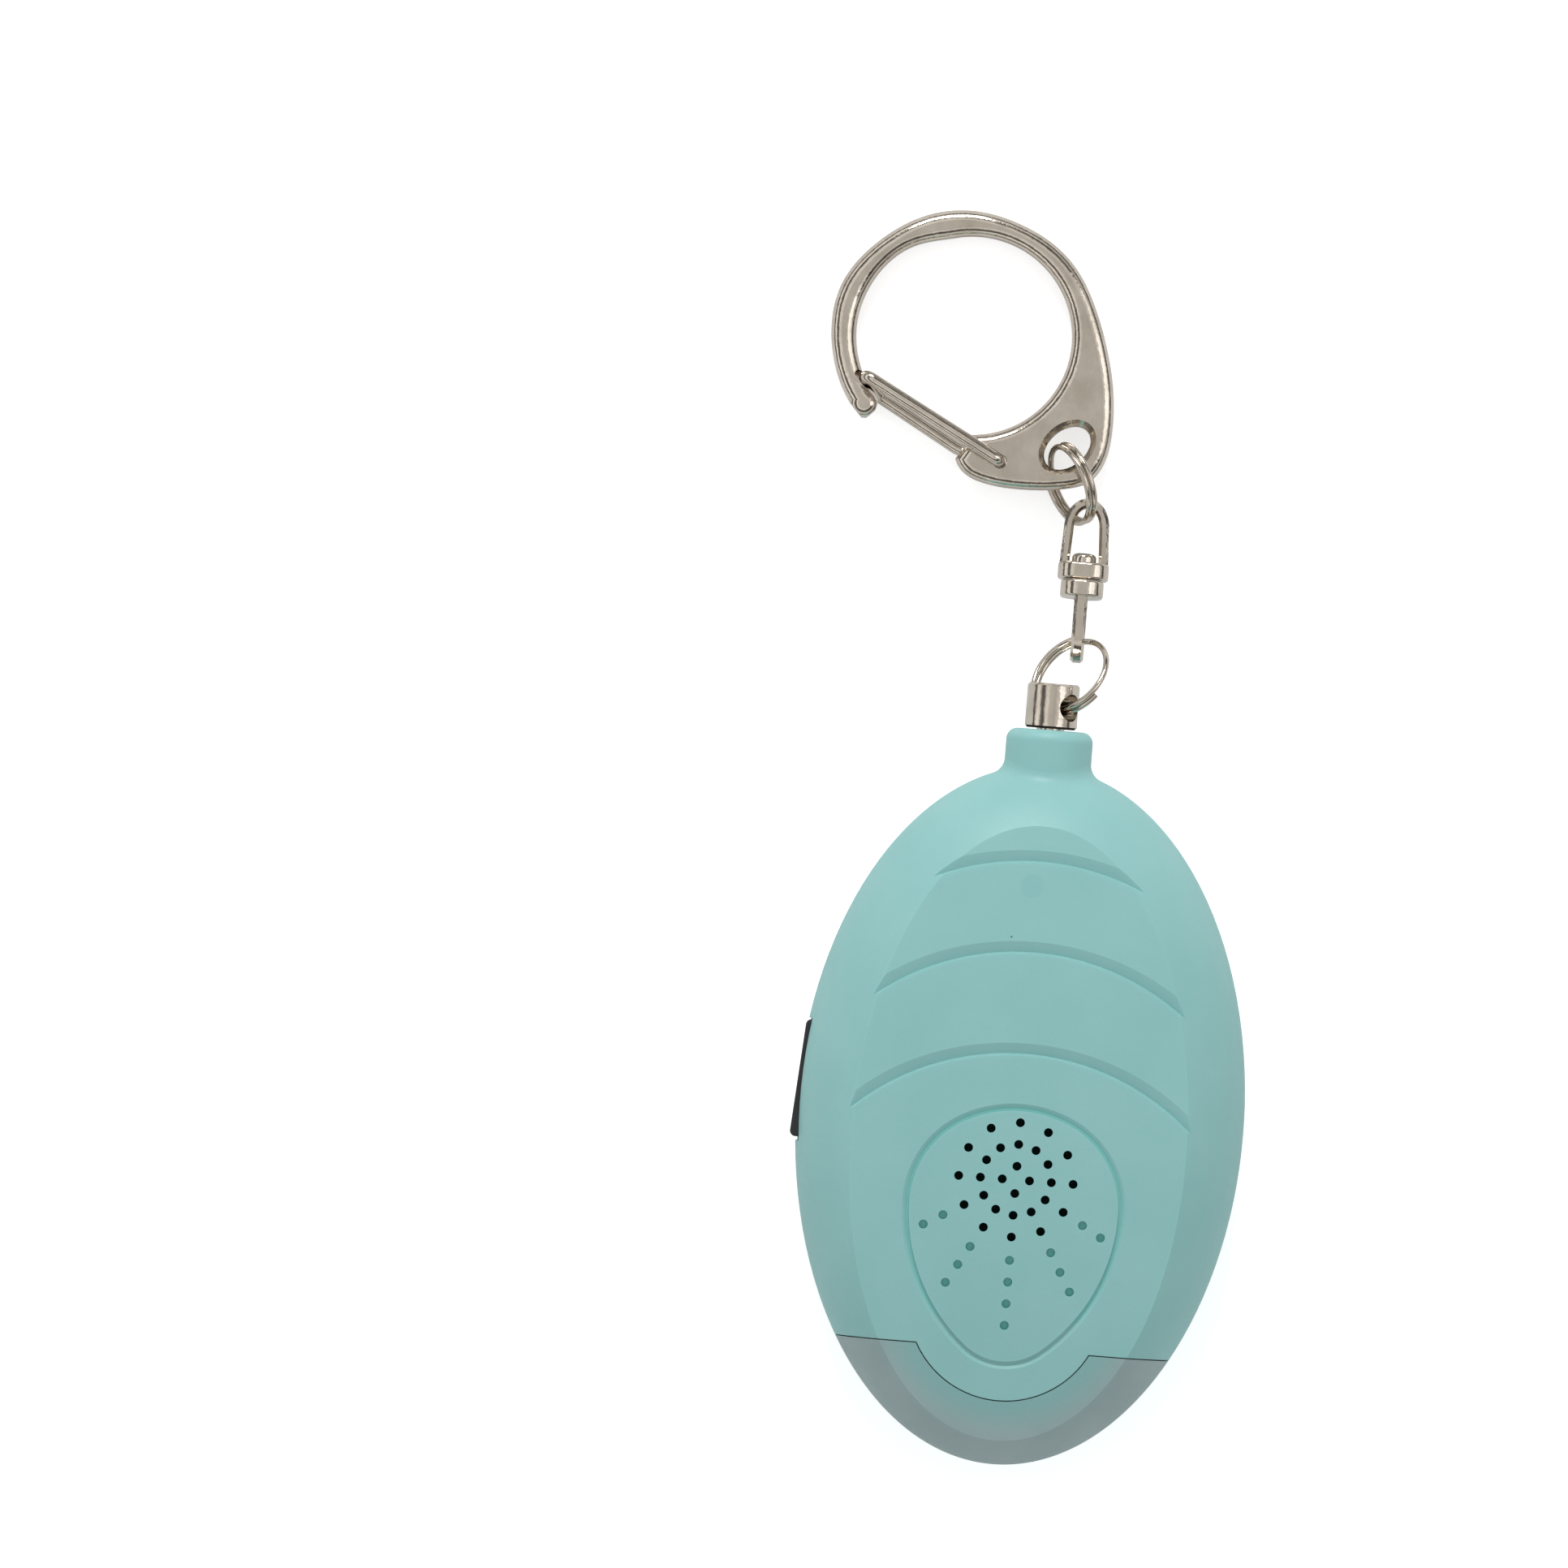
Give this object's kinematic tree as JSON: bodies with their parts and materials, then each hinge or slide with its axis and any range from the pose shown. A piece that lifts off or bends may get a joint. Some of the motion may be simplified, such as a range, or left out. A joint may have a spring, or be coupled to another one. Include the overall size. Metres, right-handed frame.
{
  "type": "personal safety alarm",
  "caption": "Oval mint personal safety alarm with a pull pin, split rings, a swivel and a snap clip with a wire gate; coin-cell siren, lamps and side button.",
  "frame": {"origin": "Centre of the case outline on the flat rear face that the alarm lies on.", "axes": "+X right seen from the front, +Y from the case towards the pull pin and clip, +Z out of the front face."},
  "size_m": [0.0508, 0.1339, 0.0215],
  "materials": {
    "mint_plastic": "satin",
    "frosted_lens": "satin",
    "black_plastic": "satin",
    "white_plastic": "satin",
    "board_laminate": "satin",
    "lamp_resin": "gloss",
    "foam_rubber": "matte",
    "black_felt": "matte",
    "brass": "satin",
    "ceramic": "matte",
    "plated_spring": "satin",
    "cell_steel": "satin",
    "can_aluminium": "satin",
    "screw_steel": "satin",
    "nickel_plate": "polished"
  },
  "bodies": {
    "alarm_body": {"front_shell": "mint_plastic", "rear_shell": "mint_plastic", "battery_door": "mint_plastic", "lens": "frosted_lens", "switch_body": "black_plastic", "boost_coil": "black_plastic", "control_chip": "black_plastic", "transistor": "black_plastic", "resistors": "black_plastic", "pin_socket": "black_plastic", "circuit_board": "board_laminate", "lamps": "lamp_resin", "siren_seal": "foam_rubber", "dust_felt": "black_felt", "siren_disc": "brass", "siren_ceramic": "ceramic", "siren_contacts": "plated_spring", "negative_contact": "plated_spring", "positive_contact": "plated_spring", "pin_wipers": "plated_spring", "coin_cells": "cell_steel", "capacitor": "can_aluminium", "case_screws": "screw_steel", "door_screw": "screw_steel", "button_pin": "screw_steel"},
    "side_button": {"side_button": "black_plastic"},
    "switch_plunger": {"switch_plunger": "white_plastic"},
    "pull_pin": {"pull_pin": "nickel_plate", "pin_cap": "nickel_plate"},
    "lower_ring": {"lower_split_ring": "nickel_plate"},
    "swivel_eye": {"swivel_eye": "nickel_plate", "swivel_rivet": "nickel_plate"},
    "swivel_bow": {"swivel_bow": "nickel_plate"},
    "upper_ring": {"upper_split_ring": "nickel_plate"},
    "clip": {"clip_frame": "nickel_plate"},
    "gate": {"clip_gate": "nickel_plate"}
  },
  "joints": [
    {"name": "pin_pull", "type": "slide", "parent": "alarm_body", "child": "pull_pin", "axis": [0, 1, 0], "range_m": [0, 0.016]},
    {"name": "button_press", "type": "hinge", "parent": "alarm_body", "child": "side_button", "pos_m": [-0.0199, 0.0076, 0.0105], "axis": [0, 0, 1], "range_deg": [0, 2.5], "stiffness_Nm_per_rad": 0.1},
    {"name": "plunger_travel", "type": "slide", "parent": "alarm_body", "child": "switch_plunger", "axis": [1, 0, 0], "range_m": [0, 0.00036]},
    {"name": "lower_ring_swing", "type": "hinge", "parent": "pull_pin", "child": "lower_ring", "pos_m": [0, 0.0439, 0.0105], "axis": [0.7431, 0, 0.6691], "range_deg": [-75, 75]},
    {"name": "eye_swing", "type": "hinge", "parent": "lower_ring", "child": "swivel_eye", "pos_m": [0.00221, 0.05105, 0.00682], "axis": [1, 0, 0], "range_deg": [-45, 45]},
    {"name": "swivel_spin", "type": "hinge", "parent": "swivel_eye", "child": "swivel_bow", "pos_m": [0.00221, 0.05763, 0.00625], "axis": [0, 0.9962, -0.0872], "continuous": true},
    {"name": "upper_ring_swing", "type": "hinge", "parent": "swivel_bow", "child": "upper_ring", "pos_m": [0.00221, 0.06594, 0.00552], "axis": [1, 0, 0], "range_deg": [-33, 45]},
    {"name": "clip_swing", "type": "hinge", "parent": "upper_ring", "child": "clip", "pos_m": [-0.00208, 0.07107, 0.00327], "axis": [-0.1461, -0.5423, -0.8274], "range_deg": [-30, 30]},
    {"name": "gate_open", "type": "hinge", "parent": "clip", "child": "gate", "pos_m": [-0.0076, 0.06964, 0.00342], "axis": [0, -0.075, -0.9972], "range_deg": [0, 30], "stiffness_Nm_per_rad": 0.008, "springref_deg": -5.73}
  ],
  "couplings": [
    {"joint": "plunger_travel", "follows": "button_press", "m_per_rad": 0.0081}
  ]
}
